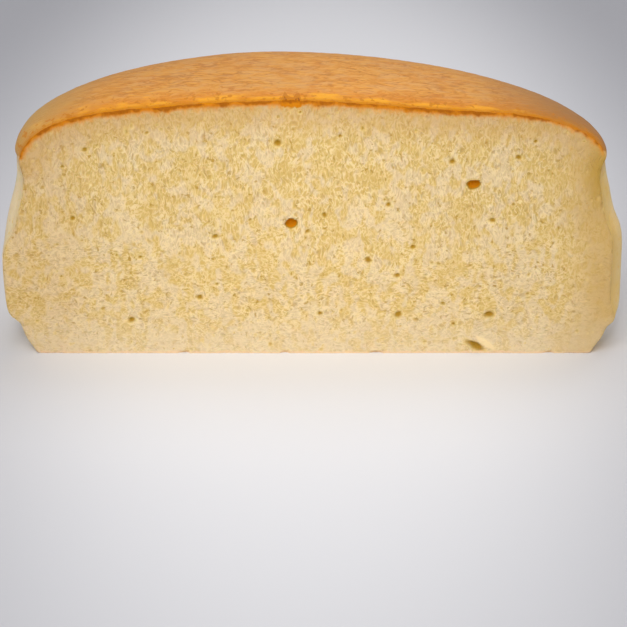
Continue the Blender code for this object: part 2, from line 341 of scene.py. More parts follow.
def smooth_body():
    """A copy of the solid, smooth all over, that runs on past where its cut was.

    It is closed there, and the knife block gives the cut back. Its faces are sorted because those
    that an extrusion adds come in another order each time.
    """
    run_on = 0.0060
    drawn_in = 0.985
    flat_enough = math.radians(40)
    sharp = math.radians(50)
    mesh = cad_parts[SOLID].data.copy()
    mesh.materials.clear()
    body = bpy.data.objects.new("cheesecake_half", mesh)
    bpy.context.scene.collection.objects.link(body)
    alone(body)
    bpy.ops.object.mode_set(mode="EDIT")
    bpy.ops.mesh.select_all(action="SELECT")
    bpy.ops.mesh.remove_doubles(threshold=0.00001)
    bpy.ops.mesh.bisect(plane_co=(0, BEHIND_PITS, 0), plane_no=(0, 1, 0), clear_inner=True)
    bpy.ops.mesh.extrude_edges_move(TRANSFORM_OT_translate={"value": (0, -run_on, 0)})
    bpy.ops.transform.resize(value=(drawn_in, 1, 1), center_override=(0, BEHIND_PITS, 0))
    bpy.ops.mesh.select_all(action="SELECT")
    bpy.ops.mesh.sort_elements(type="CURSOR_DISTANCE", elements={"EDGE", "FACE"})
    bpy.ops.mesh.tris_convert_to_quads(face_threshold=flat_enough, shape_threshold=flat_enough)
    bpy.ops.mesh.select_all(action="DESELECT")
    bpy.ops.mesh.select_mode(type="EDGE")
    bpy.ops.mesh.edges_select_sharp(sharpness=sharp)
    bpy.ops.transform.edge_crease(value=1)
    bpy.ops.object.mode_set(mode="OBJECT")
    modify(body, "SUBSURF", levels=2, render_levels=2)
    bpy.ops.object.mode_set(mode="EDIT")
    bpy.ops.mesh.select_all(action="DESELECT")
    bpy.ops.mesh.select_non_manifold()
    bpy.ops.mesh.edge_face_add()
    bpy.ops.object.mode_set(mode="OBJECT")
    return body


def divide_skin(body, settings):
    """Gives the body even cells, finer on the crust and round the crease over the base."""
    crust_from = 0.0450
    crease_to = 0.0115
    flat_to = 0.0005
    looks_down = -0.9
    target = body.copy()
    target.data = body.data.copy()
    bpy.context.scene.collection.objects.link(target)
    modify(body, "REMESH", mode="VOXEL", voxel_size=settings.voxel)
    faces = body.data.polygons
    centres = np.empty(len(faces) * 3, np.float32)
    faces.foreach_get("center", centres)
    height = centres.reshape(-1, 3)[:, 2]
    normals = np.empty(len(faces) * 3, np.float32)
    faces.foreach_get("normal", normals)
    on_base = (normals.reshape(-1, 3)[:, 2] < looks_down) & (height < flat_to)
    fine = ((height > crust_from) | (height < crease_to)) & ~on_base
    alone(body)
    bpy.ops.object.mode_set(mode="EDIT")
    bpy.ops.mesh.select_mode(type="FACE")
    bpy.ops.mesh.select_all(action="DESELECT")
    bpy.ops.object.mode_set(mode="OBJECT")
    faces.foreach_set("select", fine)
    bpy.ops.object.mode_set(mode="EDIT")
    bpy.ops.mesh.subdivide(number_cuts=1)
    bpy.ops.object.mode_set(mode="OBJECT")
    modify(body, "SHRINKWRAP", target=target, wrap_method="NEAREST_SURFACEPOINT")
    modify(body, "SMOOTH", factor=0.4, iterations=1)
    bpy.data.objects.remove(target)


def group(piece, name, weights):
    """Adds a vertex group with these weights, one for each vertex."""
    least = 0.001
    made = piece.vertex_groups.new(name=name)
    for index in np.flatnonzero(weights > least):
        made.add([int(index)], float(weights[index]), "REPLACE")


def wrinkle_skin(body, lip, settings):
    """Fine wrinkles in the crust, a lumpy edge to it at the cut, and soft pocks down the side."""
    points = points_of(body)
    rise = points[:, 2] - np.interp(headings_of(points), *lip)
    on_crust = smoothstep(0.0, 0.0030, rise)
    under_lip = 1 - smoothstep(-0.002, 0.0, rise)
    over_base = smoothstep(0.0008, 0.0040, points[:, 2])
    beside_cut = 1 - smoothstep(CUT_Y + 0.0010, CUT_Y + 0.0045, points[:, 1])
    group(body, "crust", on_crust)
    group(body, "side", over_base * under_lip)
    group(body, "crust_edge", on_crust * beside_cut)
    # (group, name, noise, size of its features, depth, the level that stays in place)
    reliefs = (
        ("crust", "crust_peel", "VORONOI_F1", settings.wrinkle_size, -settings.wrinkle, 0.15),
        ("crust", "crust_fine", "BLENDER_ORIGINAL", 0.0011, 0.00005, 0.6),
        ("side", "side_pocks", "BLENDER_ORIGINAL", 0.0055, 0.00022, 0.62),
        ("crust_edge", "crust_edge_lumps", "BLENDER_ORIGINAL", 0.0017, 0.00045, 0.7),
    )
    for group_name, name, basis, size, depth, level in reliefs:
        pattern = bpy.data.textures.new(name, "CLOUDS")
        pattern.noise_basis = basis
        pattern.noise_scale = size
        pattern.noise_depth = 1
        modify(
            body,
            "DISPLACE",
            texture=pattern,
            texture_coords="LOCAL",
            strength=depth,
            mid_level=level,
            vertex_group=group_name,
        )


def waver(x, z, settings):
    """How far the knife strayed at this place on the cut, as in the solid."""
    return settings.waver * noise.noise(Vector((x - AXIS_X, -CUT_IN_FRONT, z)) / WAVE_LENGTH)


def strands(x, z):
    """Height of the crumb's strands here, from 0 in a gap to 1: upright above, lying below.

    Sizes are in millimetres. Real strands are down to 0.2 mm apart, too fine to show, so they are
    drawn as coarse as this.
    """
    bends = 2.6
    zones = 13
    half_lying = 22
    change = 40
    steepness = 2.6
    place = Vector((x, 0.0, z)) / MM
    bend = 0.7 * noise.noise_vector(place / bends)
    lying = 0.5 + 1.6 * noise.noise(place / zones) + (half_lying - place.z) / change
    lying = min(1.0, max(0.0, lying))
    upright = noise.noise(Vector((place.x / 0.95, 3.0, place.z / 1.9)) + bend)
    level = noise.noise(Vector((place.x / 1.3, 9.0, place.z / 0.9)) + bend)
    wave = (upright + (level - upright) * lying) / math.hypot(1 - lying, lying)
    return max(0.0, 1.0 - steepness * abs(wave))


class CutFace:
    """The cut face as a grid: how far each point lies behind the flat cut, and what shows there."""

    def __init__(self, block, columns, rows):
        self.block = block
        points = points_of(block).astype(float)
        # By rows from the bottom up, and from left to right in each
        self.order = np.lexsort((points[:, 0], np.round(points[:, 2] / (0.1 * MM))))
        self.x = points[self.order, 0].reshape(rows, columns)
        self.z = points[self.order, 2].reshape(rows, columns)
        self.depth = np.zeros_like(self.x)
        self.strand = np.zeros_like(self.x)
        self.pore = np.zeros_like(self.x)

    def press(self, place, wide, high, depth, roll=0.0, soft=0.6, tone=0.6, spread=1.9):
        """Presses one ragged hollow, of this half width and half height, into the face.

        A negative depth lifts a flake off it. Soft runs from 0, a crisp bowl, to 1, a dimple. Tone
        is how deep its colour is in the middle, partly painted shade in the hollow, and spread is
        how far that reaches, over its half width.
        """
        furthest = 2.2
        own_seed = 31
        lumps = 0.9 * wide
        ragged = 0.3 + 0.25 * soft
        reach = furthest * max(wide, high)
        column = np.abs(self.x[0] - place[0]) < reach
        row = np.abs(self.z[:, 0] - place[1]) < reach
        for j in np.flatnonzero(row):
            for i in np.flatnonzero(column):
                across = self.x[j, i] - place[0]
                up = self.z[j, i] - place[1]
                along = across * math.cos(roll) - up * math.sin(roll)
                over = up * math.cos(roll) + across * math.sin(roll)
                away = math.hypot(along / wide, over / high)
                spot = Vector((self.x[j, i], place[0] * own_seed, self.z[j, i])) / lumps
                away *= 1 + ragged * noise.noise(spot)
                if away < 1:
                    self.depth[j, i] += depth * (1 - away * away) ** (0.5 + soft)
                    if depth < 0:
                        self.strand[j, i] = LIFTED - away
                if away < spread:
                    self.pore[j, i] = max(self.pore[j, i], tone * (1 - away / spread))

    def write(self):
        """Puts the depths into the block's mesh. Nothing stands in front of the solid's box."""
        frontmost = CAD_LOW.y + 0.00002
        points = points_of(self.block)
        points[self.order, 1] = np.maximum(CUT_Y + self.depth, frontmost).ravel()
        move_points(self.block, points)

    def read(self, values, points):
        """These grid values at these points of the cut face."""
        cell_x = self.x[0, 1] - self.x[0, 0]
        cell_z = self.z[1, 0] - self.z[0, 0]
        column = np.clip(np.rint((points[:, 0] - self.x[0, 0]) / cell_x), 0, self.x.shape[1] - 1)
        row = np.clip(np.rint((points[:, 2] - self.z[0, 0]) / cell_z), 0, self.x.shape[0] - 1)
        return values[row.astype(int), column.astype(int)]


def rounded_rim(place, body_tree):
    """How far the cut falls back here, where it rounds over into the skin."""
    reach = 0.004
    side_round = 0.6 * MM
    crust_round = 0.35 * MM
    side_to = 0.0460
    nearest, normal = body_tree.find_nearest(place, reach)[:2]
    if nearest is None:
        return 0.0
    at_side = abs(normal.x) > 0.8 and place.z < side_to
    radius = side_round if at_side else crust_round
    outside = (place - nearest).dot(normal)
    t = min(1.0, max(0.0, 1 + outside / radius))
    return radius * (1 - math.sqrt(1 - t * t))


def open_crumb(face, body_tree, settings):
    """Shapes the cut face: the knife's waver, its rounded rim, the strands, pores and bubbles."""
    noise.seed_set(settings.seed)  # the strands' bends start anywhere without it
    swells = 7 * MM
    strand_level = 0.55
    rim_from = 0.0600
    rim_above = 0.0480
    for j in range(face.x.shape[0]):
        for i in range(face.x.shape[1]):
            x, z = face.x[j, i], face.z[j, i]
            face.strand[j, i] = strands(x, z)
            face.depth[j, i] = (
                waver(x, z, settings)
                + settings.swell * noise.noise(Vector((x, 5.0, z)) / swells)
                + settings.strand * (strand_level - face.strand[j, i])
            )
            if abs(x) > rim_from or z > rim_above:
                face.depth[j, i] += rounded_rim(Vector((x, CUT_Y, z)), body_tree)
    for across, height, wide, high in BUBBLES:
        middle = (across, height)
        if wide > LARGE_BUBBLE:
            # A deep hole with a crisp edge, in a faint halo
            face.press(middle, wide, high, 1.05 * wide, soft=0, tone=3.6, spread=1.12)
            face.press(middle, wide, high, 0.0, tone=0.3, spread=2.1)
        else:
            # A soft dimple, whose lower part is deeper and darker with painted shade
            low = (across, height - 0.25 * high)
            tone = min(0.86, 0.55 + 0.35 * wide / MM)
            face.press(middle, wide, high, 0.40 * wide, soft=0.9, tone=0.38, spread=1.7)
            face.press(low, 0.90 * wide, 0.72 * high, 0.40 * wide, tone=tone)
    for across, height, wide, high, depth, roll, tone in TEARS:
        face.press((across, height), wide, high, depth, roll, soft=0.2, tone=tone)
    draw = random.Random(settings.seed)
    for _ in range(settings.pores):
        place = (draw.uniform(-CAD_HIGH.x, CAD_HIGH.x), draw.uniform(0, CAD_HIGH.z))
        wide = 0.00030 + 0.00036 * draw.random() ** 3
        high = wide * draw.uniform(0.7, 1.3)
        roll = draw.uniform(-0.8, 0.8)
        face.press(place, wide, high, 0.5 * wide, roll, tone=draw.uniform(0.25, 0.65))


def knife_block(body_tree, settings):
    """The block of cake that the knife left: its front face is the wavering, open cut."""
    margin = 0.0015
    length = 0.1
    half_width = CAD_HIGH.x + margin
    half_height = CAD_HIGH.z / 2 + margin
    columns = round(2 * half_width / settings.cell)
    rows = round(2 * half_height / settings.cell)
    bpy.ops.object.select_all(action="DESELECT")
    bpy.ops.mesh.primitive_grid_add(
        x_subdivisions=columns,
        y_subdivisions=rows,
        size=2,
        rotation=(math.radians(90), 0, 0),
        location=(0, CUT_Y, half_height - margin),
    )
    block = bpy.context.object
    block.name = "knife_block"
    block.scale = (half_width, half_height, 1)
    bpy.ops.object.transform_apply(location=True, rotation=True, scale=True)
    face = CutFace(block, columns + 1, rows + 1)
    open_crumb(face, body_tree, settings)
    face.write()
    alone(block)
    bpy.ops.object.mode_set(mode="EDIT")
    bpy.ops.mesh.select_all(action="SELECT")
    bpy.ops.mesh.extrude_region_move(TRANSFORM_OT_translate={"value": (0, length, 0)})
    bpy.ops.mesh.select_all(action="SELECT")
    bpy.ops.mesh.normals_make_consistent(inside=False)
    bpy.ops.object.mode_set(mode="OBJECT")
    return block, face


def tree_of(body, keep):
    """The body's faces that this test keeps, for measuring how far a point lies from them."""
    points = [vertex.co for vertex in body.data.vertices]
    faces = [list(face.vertices) for face in body.data.polygons if keep(face)]
    return BVHTree.FromPolygons(points, faces)


def measure(piece, face, trees, lip):
    """Stores on every vertex what the materials read there.

    above_lip, under_crust and from_side are lengths in metres. strand runs from 0 to 1, and past
    that on a lifted flake. pore runs from 0 in plain crumb to 1 in a bubble, and past that in the
    largest ones and beside a nick.
    """
    front_band = 0.0045
    border_band = 0.0090
    furthest = 0.02
    points = points_of(piece)
    at_cut = np.flatnonzero(points[:, 1] < CUT_Y + front_band)
    away = {name: np.full(len(points), furthest) for name in trees}
    for name, tree in trees.items():
        for i in at_cut:
            distance = tree.find_nearest(Vector(points[i]), furthest)[3]
            if distance is not None:
                away[name][i] = distance
    beside_cut = 1 - smoothstep(CUT_Y, CUT_Y + border_band, points[:, 1])
    border = np.interp(headings_of(points), *lip) + lip_at_cut(points[:, 0]) * beside_cut
    values = {
        "above_lip": points[:, 2] - border,
        "strand": face.read(face.strand, points),
        "pore": face.read(face.pore, points),
        "under_crust": away["under_crust"] + line_rise(points[:, 0]),
        "from_side": away["from_side"],
    }
    for name, value in values.items():
        attribute = piece.data.attributes.new(name, "FLOAT", "POINT")
        attribute.data.foreach_set("value", value.astype(np.float32))


def add(tree, kind, name, feeds, out=0, **settings):
    """Adds a node with its settings, and gives one of its outputs.

    Feeds are its inputs, as values or as other nodes' outputs to link.
    """
    node = tree.nodes.new(kind)
    node.label = name
    for key, value in settings.items():
        setattr(node, key, value)
    for key, value in feeds.items():
        if isinstance(value, bpy.types.NodeSocket):
            tree.links.new(value, node.inputs[key])
        else:
            node.inputs[key].default_value = value
    return node.outputs[out]


def new_material(name):
    """An empty material with its Principled shader, and its Object coordinates in millimetres."""
    material = bpy.data.materials.new(name)
    material.use_nodes = True
    tree = material.node_tree
    place = add(tree, "ShaderNodeTexCoord", "place", {}, "Object")
    mm = add(tree, "ShaderNodeMapping", "in millimetres", {"Vector": place, "Scale": (1 / MM,) * 3})
    return material, tree, tree.nodes["Principled BSDF"], mm


def layer(tree, name, below, colour, value, start, end, most=1.0):
    """Lays a colour over the one below, from none where the value is at start to most at end."""
    amount = add(
        tree,
        "ShaderNodeMapRange",
        name,
        {"Value": value, "From Min": start, "From Max": end, "To Max": most},
        interpolation_type="SMOOTHSTEP",
    )
    return add(tree, "ShaderNodeMix", name, {0: amount, 6: below, 7: colour}, 2, data_type="RGBA")


def crumb_material(crumb, skin):
    """Baked egg sponge, torn open by the knife: matt and pale, and light spreads within it."""
    material, tree, shader, mm = new_material("cut_souffle_crumb")
    strand = add(tree, "ShaderNodeAttribute", "strand", {}, "Fac", attribute_name="strand")
    pore = add(tree, "ShaderNodeAttribute", "pore", {}, "Fac", attribute_name="pore")
    under = add(tree, "ShaderNodeAttribute", "under crust", {}, "Fac", attribute_name="under_crust")
    beside = add(tree, "ShaderNodeAttribute", "from side", {}, "Fac", attribute_name="from_side")
    height = add(tree, "ShaderNodeSeparateXYZ", "height", {"Vector": mm}, "Z")

    # Moister and drier crumb in zones 8 mm across, broken up by upright cells of 2 by 3 mm
    zones = add(tree, "ShaderNodeTexNoise", "zones", {"Vector": mm, "Scale": 1 / 8.0, "Detail": 1})
    feeds = {"Vector": mm, "Scale": (1 / 1.8, 1 / 4, 1 / 2.8)}
    upright = add(tree, "ShaderNodeMapping", "upright", feeds)
    feeds = {"Vector": upright, "Scale": 1, "Detail": 0.5, "Distortion": 0.4}
    cells = add(tree, "ShaderNodeTexNoise", "cells", feeds)
    feeds = {0: cells, 1: 1.0, 2: zones}
    moist = add(tree, "ShaderNodeMath", "moist", feeds, operation="MULTIPLY_ADD")
    feeds = {0: height, 1: 1 / 500, 2: moist}
    moist = add(tree, "ShaderNodeMath", "moister above", feeds, operation="MULTIPLY_ADD")
    colour = layer(tree, "moist crumb", crumb.beige, crumb.yellow, moist, 0.93, 1.15)

    # The knife's tear: worm-like strokes, steep above and lying over below. A real sponge's cells
    # are down to 0.2 mm wide, too fine to show, so the strokes are drawn 0.8 to 1.3 mm apart.
    # Strands and strokes carry painted highlight, and the gaps between them painted shade.
    swirl = add(tree, "ShaderNodeTexNoise", "swirl", {"Vector": mm, "Scale": 1 / 9.0, "Detail": 1})
    feeds = {0: height, 1: -1 / 50, 2: swirl}
    lower = add(tree, "ShaderNodeMath", "lower", feeds, operation="MULTIPLY_ADD")
    feeds = {"Value": lower, "From Min": -0.12, "From Max": 0.12}
    lie = add(tree, "ShaderNodeMapRange", "lie", feeds)
    drift = add(tree, "ShaderNodeTexNoise", "drift", {"Vector": mm, "Scale": 1 / 5.0}, "Color")
    feeds = {0: drift, 1: (2.5, 0, 2.5), 2: mm}
    bent = add(tree, "ShaderNodeVectorMath", "bent", feeds, operation="MULTIPLY_ADD")
    waves = []
    for name, turn, size in (("upright", 12, (0.76, 4.0, 1.7)), ("lying", -35, (1.25, 4.0, 0.76))):
        turned = (0, math.radians(turn), 0)
        feeds = {"Vector": bent, "Rotation": turned, "Scale": [1 / side for side in size]}
        grain = add(tree, "ShaderNodeMapping", name, feeds)
        feeds = {"Vector": grain, "Scale": 1, "Detail": 1.2, "Distortion": 0.5}
        waves.append(add(tree, "ShaderNodeTexNoise", name, feeds))
    wave = add(tree, "ShaderNodeMix", "wave", {0: lie, 2: waves[0], 3: waves[1]})
    middle = add(tree, "ShaderNodeMath", "middle", {0: wave, 1: 0.5}, operation="SUBTRACT")
    gaps = add(tree, "ShaderNodeMath", "gaps", {0: middle}, operation="ABSOLUTE")
    plain = colour
    colour = layer(tree, "lit strands", colour, crumb.lit_strand_colour, strand, 0.50, 1.0, 0.35)
    colour = layer(tree, "shaded gaps", colour, crumb.gap, strand, 0.30, 0.0, 0.25)
    colour = layer(tree, "lit strokes", colour, crumb.lit_strand_colour, gaps, 0.075, 0.018, 0.70)
    colour = layer(tree, "gaps between", colour, crumb.gap, gaps, 0.11, 0.25, 0.62)
    tear = add(tree, "ShaderNodeTexNoise", "tear", {"Vector": mm, "Scale": 1 / 4.5, "Detail": 1})
    feeds = {"Value": tear, "From Min": 0.36, "From Max": 0.58, "To Min": 0.6, "To Max": 1.0}
    crisp = add(tree, "ShaderNodeMapRange", "crisply torn zones", feeds)
    feeds = {0: crisp, 6: plain, 7: colour}
    colour = add(tree, "ShaderNodeMix", "strokes", feeds, 2, data_type="RGBA")
    feeds = {"Vector": mm, "Scale": 1 / 1.1, "Distortion": 0.4}
    specks = add(tree, "ShaderNodeTexNoise", "specks", feeds)
    colour = layer(tree, "specks", colour, crumb.pore, specks, 0.39, 0.28, 0.65)

    # Drier under the crust, darker at the far left with painted shade, moister beside the side's
    # skin, paler low down, and stained golden in an oval at the right
    colour = layer(tree, "drier under", colour, crumb.under, under, 11 * MM, 0.5 * MM, 0.65)
    stray = add(tree, "ShaderNodeTexNoise", "rim strays", {"Vector": mm, "Scale": 1 / 5.0})
    feeds = {0: stray, 1: 5 * MM, 2: beside}
    rim = add(tree, "ShaderNodeMath", "rim", feeds, operation="MULTIPLY_ADD")
    across = add(tree, "ShaderNodeSeparateXYZ", "across", {"Vector": mm}, "X")
    feeds = {0: across, 1: -0.09 * MM, 2: rim}
    rim = add(tree, "ShaderNodeMath", "moister right", feeds, operation="MULTIPLY_ADD")
    # Painted shade: the crumb darkens towards the far left, in the drier crumb's colour
    colour = layer(tree, "duller left", colour, crumb.under, across, -47.0, -62.0, 0.22)
    colour = layer(tree, "moist rim", colour, crumb.rim, rim, 11.7 * MM, -2.3 * MM, 0.8)
    colour = layer(tree, "paler low down", colour, crumb.pale, height, 13.0, 2.0, 0.4)
    feeds = {"Vector": mm, "Location": (-67.5 / 4, 0, -44.0 / 9), "Scale": (1 / 4, 0, 1 / 9)}
    stain = add(tree, "ShaderNodeMapping", "oval", feeds)
    stain = add(tree, "ShaderNodeVectorMath", "stain", {0: stain}, "Value", operation="LENGTH")
    colour = layer(tree, "golden stain", colour, crumb.stain, stain, 1.3, 0.2, 0.75)

    # Air bubbles: a moist halo, an ochre hollow, and deep amber in the largest, darker inwards with
    # painted shade and a painted glow in the hollow
    colour = layer(tree, "halo", colour, crumb.halo, pore, 0.12, 0.40, 0.45)
    colour = layer(tree, "pores", colour, crumb.pore, pore, 0.24, 0.68, 0.95)
    colour = layer(tree, "bubbles", colour, crumb.bubble, pore, 0.86, 1.0)
    # Painted highlight on the lifted flake
    colour = layer(tree, "lifted flake", colour, crumb.lit_strand_colour, strand, 1.4, 1.9, 0.9)

    # The cut through the crust: a brown line that feathers out below and has darker places
    feeds = {"Vector": mm, "Scale": (1 / 1.1, 1 / 3.0, 1 / 2.4)}
    ragged = add(tree, "ShaderNodeMapping", "ragged", feeds)
    ragged = add(tree, "ShaderNodeTexNoise", "ragged", {"Vector": ragged, "Scale": 1, "Detail": 3})
    feeds = {0: ragged, 1: -4 * MM, 2: under}
    feather = add(tree, "ShaderNodeMath", "feather", feeds, operation="MULTIPLY_ADD")
    colour = layer(tree, "feather", colour, skin.crust, feather, 0.2 * MM, -1.6 * MM, 0.5)
    blobs = add(tree, "ShaderNodeTexNoise", "blobs", {"Vector": mm, "Scale": 1 / 3.0, "Detail": 3})
    feeds = {0: blobs, 1: -1.2 * MM, 2: under}
    line = add(tree, "ShaderNodeMath", "line", feeds, operation="MULTIPLY_ADD")
    feeds = {0: pore, 1: -MM, 2: line}
    line = add(tree, "ShaderNodeMath", "line at a nick", feeds, operation="MULTIPLY_ADD")
    colour = layer(tree, "line", colour, skin.line, line, 0.85 * MM, -0.15 * MM, 0.95)
    feeds = {0: blobs, 1: -4 * MM, 2: under}
    darkest = add(tree, "ShaderNodeMath", "darkest", feeds, operation="MULTIPLY_ADD")
    colour = layer(tree, "dark line", colour, skin.line_dark, darkest, -1.1 * MM, -1.9 * MM, 0.65)

    # The lowest millimetre, baked dry
    dry = add(tree, "ShaderNodeTexNoise", "dry", {"Vector": mm, "Scale": 1 / 2.5})
    low = add(tree, "ShaderNodeMath", "low", {0: dry, 1: height}, operation="ADD")
    colour = layer(tree, "baked base", colour, skin.base, low, 1.15, 0.8, 0.8)
    tree.links.new(colour, shader.inputs["Base Color"])
    feeds = {"Height": gaps, "Strength": crisp, "Distance": 0.5 * MM}
    bump = add(tree, "ShaderNodeBump", "torn strokes", feeds, invert=True)
    tree.links.new(bump, shader.inputs["Normal"])
    shader.inputs["Roughness"].default_value = 0.75
    shader.inputs["Specular IOR Level"].default_value = 0.12
    shader.inputs["Subsurface Weight"].default_value = 0.25
    shader.inputs["Subsurface Radius"].default_value = (1.0, 0.6, 0.25)
    shader.inputs["Subsurface Scale"].default_value = MM
    return material


def skin_material(skin):
    """Baked egg skin: a browned crust with a soft shine, and a side that paper kept pale."""
    material, tree, shader, mm = new_material("baked_outer_skin")
    rise = add(tree, "ShaderNodeAttribute", "above lip", {}, "Fac", attribute_name="above_lip")
    pore = add(tree, "ShaderNodeAttribute", "pore", {}, "Fac", attribute_name="pore")
    deep = add(tree, "ShaderNodeSeparateXYZ", "deep", {"Vector": mm}, "Y")
    feeds = {0: deep, 1: CUT_Y / MM}
    behind = add(tree, "ShaderNodeMath", "behind the cut", feeds, operation="SUBTRACT")

    # Browned patches 14 mm across, a tan mottle of 3.5 mm, and creases 1.5 by 5 mm with painted
    # shade in them and painted highlight between them. Real creases are a few tenths of a millimetre
    # wide, too fine to show, so they are drawn this coarse.
    feeds = {"Vector": mm, "Scale": 1 / 14.0, "Detail": 2}
    patches = add(tree, "ShaderNodeTexNoise", "patches", feeds)
    crust = layer(tree, "browned patches", skin.crust, skin.crust_dark, patches, 0.42, 0.70, 0.7)
    tan = add(tree, "ShaderNodeTexNoise", "tan", {"Vector": mm, "Scale": 1 / 3.5, "Detail": 0})
    crust = layer(tree, "tan mottle", crust, skin.tan, tan, 0.46, 0.66, 0.45)
    drift = add(tree, "ShaderNodeTexNoise", "drift", {"Vector": mm, "Scale": 1 / 9.0}, "Color")
    feeds = {0: drift, 1: (7, 7, 7), 2: mm}
    bent = add(tree, "ShaderNodeVectorMath", "bent", feeds, operation="MULTIPLY_ADD")
    feeds = {"Vector": bent, "Scale": (1 / 4.6, 1 / 1.7, 1 / 1.5)}
    drawn = add(tree, "ShaderNodeMapping", "drawn out across", feeds)
    feeds = {"Vector": drawn, "Scale": 1, "Detail": 2.5, "Distortion": 0.3}
    wrinkle = add(tree, "ShaderNodeTexNoise", "wrinkles", feeds)
    thin = add(tree, "ShaderNodeTexNoise", "thin", {"Vector": mm, "Scale": 1 / 6.0, "Detail": 2})
    middle = add(tree, "ShaderNodeMath", "middle", {0: wrinkle, 1: 0.5}, operation="SUBTRACT")
    furrow = add(tree, "ShaderNodeMath", "furrow", {0: middle}, operation="ABSOLUTE")
    feeds = {0: thin, 1: -0.20, 2: furrow}
    broken = add(tree, "ShaderNodeMath", "broken", feeds, operation="MULTIPLY_ADD")
    # Painted shade in the creases and painted highlight beside them, over the bump
    crust = layer(tree, "creases", crust, skin.crease, broken, -0.068, -0.100, 0.65)
    crust = layer(tree, "lit skin", crust, skin.lit_skin, broken, -0.050, 0.01, 0.42)

    # Darker down the shoulder, a painted glow where the thin edge at the cut is lit through, painted
    # shade towards the right and the left ends, with brown nicks and specks beside the cut
    crust = layer(tree, "browned shoulder", crust, skin.shoulder, rise, 16 * MM, 6 * MM, 0.85)
    # Painted glow: more orange towards the cut, and brightest at the thin edge, as if lit through
    crust = layer(tree, "beside the cut", crust, skin.edge, behind, 15.0, 0.0, 0.85)
    feeds = {0: thin, 1: 24.0, 2: behind}
    glow = add(tree, "ShaderNodeMath", "ragged glow", feeds, operation="MULTIPLY_ADD")
    crust = layer(tree, "glow", crust, skin.glow, glow, 18.5, 12.5, 0.85)
    across = add(tree, "ShaderNodeSeparateXYZ", "across", {"Vector": mm}, "X")
    # Painted shade: the crust darkens towards its right and its left ends
    crust = layer(tree, "browner right", crust, skin.shaded_right_end, across, 34.0, 62.0, 0.75)
    crust = layer(tree, "paler left", crust, skin.shaded_left_end, across, -48.0, -70.0, 0.75)
    crust = layer(tree, "beside the line", crust, skin.line, behind, 4.2, 0.5, 0.85)
    feeds = {0: behind, 1: -0.24, 2: pore}
    nick = add(tree, "ShaderNodeMath", "nick", feeds, operation="MULTIPLY_ADD")
    crust = layer(tree, "nick", crust, skin.line, nick, 0.15, 0.35, 0.9)
    crust = layer(tree, "dark marks", crust, skin.line_dark, nick, 1.15, 1.5, 0.9)
    feeds = {"Vector": mm, "Scale": (1 / 1.3, 1 / 2.8, 1 / 1.3)}
    lumps = add(tree, "ShaderNodeMapping", "lumps", feeds)
    scorches = add(tree, "ShaderNodeTexNoise", "scorches", {"Vector": lumps, "Scale": 1})
    feeds = {0: behind, 1: 0.012, 2: scorches}
    scorched = add(tree, "ShaderNodeMath", "scorched", feeds, operation="MULTIPLY_ADD")
    crust = layer(tree, "scorched specks", crust, skin.line, scorched, 0.50, 0.40, 0.75)

    # The side: cream, moister and yellower beside the cut, with a little brown under the lip
    mottle = add(tree, "ShaderNodeTexNoise", "mottle", {"Vector": mm, "Scale": 1 / 6, "Detail": 3})
    feeds = {0: mottle, 1: 8.0, 2: behind}
    moist = add(tree, "ShaderNodeMath", "moist", feeds, operation="MULTIPLY_ADD")
    feeds = {0: across, 1: -0.055, 2: moist}
    moist = add(tree, "ShaderNodeMath", "moister right", feeds, operation="MULTIPLY_ADD")
    side = layer(tree, "moist side", skin.side, skin.side_moist, moist, 14.0, 1.0, 0.8)
    side = layer(tree, "side mottle", side, skin.side_moist, mottle, 0.50, 0.75, 0.35)
    pocks = add(tree, "ShaderNodeTexNoise", "pocks", {"Vector": mm, "Scale": 1 / 1.3, "Detail": 2})
    side = layer(tree, "pocks", side, skin.side_moist, pocks, 0.42, 0.30, 0.5)
    side = layer(tree, "browned under the lip", side, skin.crust_dark, rise, -3.5 * MM, 0.0, 0.35)
    feeds = {0: thin, 1: 0.5 * MM, 2: rise}
    at_lip = add(tree, "ShaderNodeMath", "at the lip", feeds, operation="MULTIPLY_ADD")
    colour = layer(tree, "crust", side, crust, at_lip, -0.25 * MM, 0.25 * MM)
    tree.links.new(colour, shader.inputs["Base Color"])
    feeds = {"Value": at_lip, "From Min": 0, "From Max": MM}
    on_crust = add(tree, "ShaderNodeMapRange", "on the crust", feeds)
    shallow = add(tree, "ShaderNodeMath", "shallow", {0: pocks, 1: 0.5}, operation="MULTIPLY")
    relief = add(tree, "ShaderNodeMix", "relief", {0: on_crust, 2: shallow, 3: furrow})
    feeds = {"Height": relief, "Strength": 0.5, "Distance": MM}
    bump = add(tree, "ShaderNodeBump", "wrinkled skin", feeds)
    tree.links.new(bump, shader.inputs["Normal"])
    shader.inputs["Roughness"].default_value = 0.58
    feeds = {"Value": behind, "From Max": 9.0, "To Max": 0.22}
    shine = add(tree, "ShaderNodeMapRange", "shine away from the cut", feeds)
    tree.links.new(shine, shader.inputs["Specular IOR Level"])
    shader.inputs["Sheen Weight"].default_value = 0.04
    shader.inputs["Subsurface Weight"].default_value = 0.2
    shader.inputs["Subsurface Radius"].default_value = (1.0, 0.6, 0.25)
    shader.inputs["Subsurface Scale"].default_value = 1.5 * MM
    return material


def base_material(skin):
    """The sponge's base, baked dry against paper: smooth, faintly mottled with brown, and dull."""
    material, tree, shader, mm = new_material("papered_base")
    mottle = add(tree, "ShaderNodeTexNoise", "mottle", {"Vector": mm, "Scale": 1 / 6, "Detail": 4})
    colour = layer(tree, "base", skin.base, skin.crust_dark, mottle, 0.3, 0.8, 0.7)
    tree.links.new(colour, shader.inputs["Base Color"])
    shader.inputs["Roughness"].default_value = 0.75
    return material


